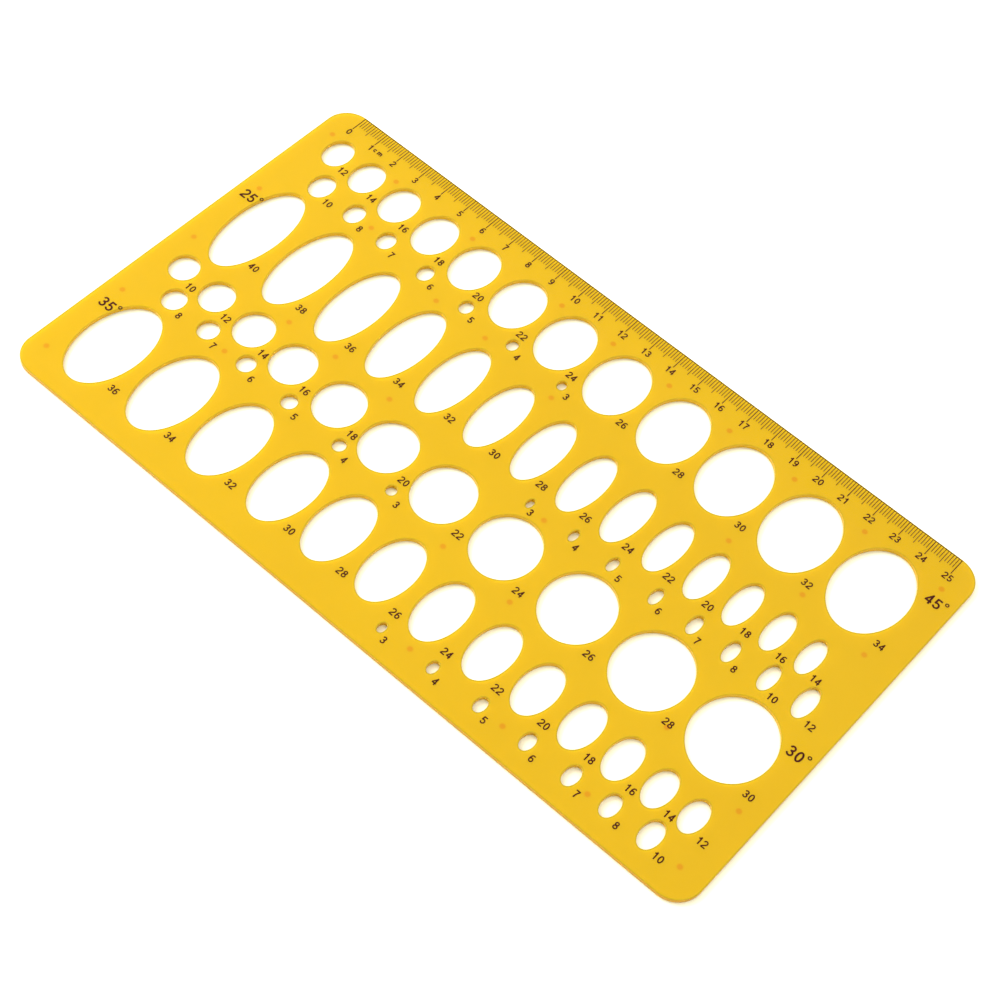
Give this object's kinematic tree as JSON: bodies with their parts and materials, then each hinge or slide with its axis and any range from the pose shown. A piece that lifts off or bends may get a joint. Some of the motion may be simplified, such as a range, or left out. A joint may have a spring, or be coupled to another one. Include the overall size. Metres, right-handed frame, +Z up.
{
  "type": "ellipse template",
  "caption": "Flat translucent amber drafting template with rows of elliptical holes in four angle families, a centimetre rule on one long edge and small pips under the sheet.",
  "frame": {"origin": "on the surface that the pips stand on, below the middle of the sheet", "axes": "+X along the printed rule from its zero mark, +Y to the ruled long edge, +Z up out of the printed face"},
  "size_m": [0.268, 0.154, 0.0021],
  "materials": {
    "amber_plastic": "clear amber, smooth and glossy",
    "printed_ink": "dark brown screen print, satin"
  },
  "bodies": {
    "root": {"heading_25_degree": "printed_ink", "heading_25_tens": "printed_ink", "heading_25_units": "printed_ink", "heading_30_degree": "printed_ink", "heading_30_tens": "printed_ink", "heading_30_units": "printed_ink", "heading_35_degree": "printed_ink", "heading_35_tens": "printed_ink", "heading_35_units": "printed_ink", "heading_45_degree": "printed_ink", "heading_45_tens": "printed_ink", "heading_45_units": "printed_ink", "scale_graduations": "printed_ink", "scale_number_0": "printed_ink", "scale_number_1": "printed_ink", "scale_number_10_tens": "printed_ink", "scale_number_10_units": "printed_ink", "scale_number_11_tens": "printed_ink", "scale_number_11_units": "printed_ink", "scale_number_12_tens": "printed_ink", "scale_number_12_units": "printed_ink", "scale_number_13_tens": "printed_ink", "scale_number_13_units": "printed_ink", "scale_number_14_tens": "printed_ink", "scale_number_14_units": "printed_ink", "scale_number_15_tens": "printed_ink", "scale_number_15_units": "printed_ink", "scale_number_16_tens": "printed_ink", "scale_number_16_units": "printed_ink", "scale_number_17_tens": "printed_ink", "scale_number_17_units": "printed_ink", "scale_number_18_tens": "printed_ink", "scale_number_18_units": "printed_ink", "scale_number_19_tens": "printed_ink", "scale_number_19_units": "printed_ink", "scale_number_2": "printed_ink", "scale_number_20_tens": "printed_ink", "scale_number_20_units": "printed_ink", "scale_number_21_tens": "printed_ink", "scale_number_21_units": "printed_ink", "scale_number_22_tens": "printed_ink", "scale_number_22_units": "printed_ink", "scale_number_23_tens": "printed_ink", "scale_number_23_units": "printed_ink", "scale_number_24_tens": "printed_ink", "scale_number_24_units": "printed_ink", "scale_number_25_tens": "printed_ink", "scale_number_25_units": "printed_ink", "scale_number_3": "printed_ink", "scale_number_4": "printed_ink", "scale_number_5": "printed_ink", "scale_number_6": "printed_ink", "scale_number_7": "printed_ink", "scale_number_8": "printed_ink", "scale_number_9": "printed_ink", "scale_unit_c": "printed_ink", "scale_unit_m": "printed_ink", "template_sheet": "amber_plastic"}
  },
  "joints": []
}
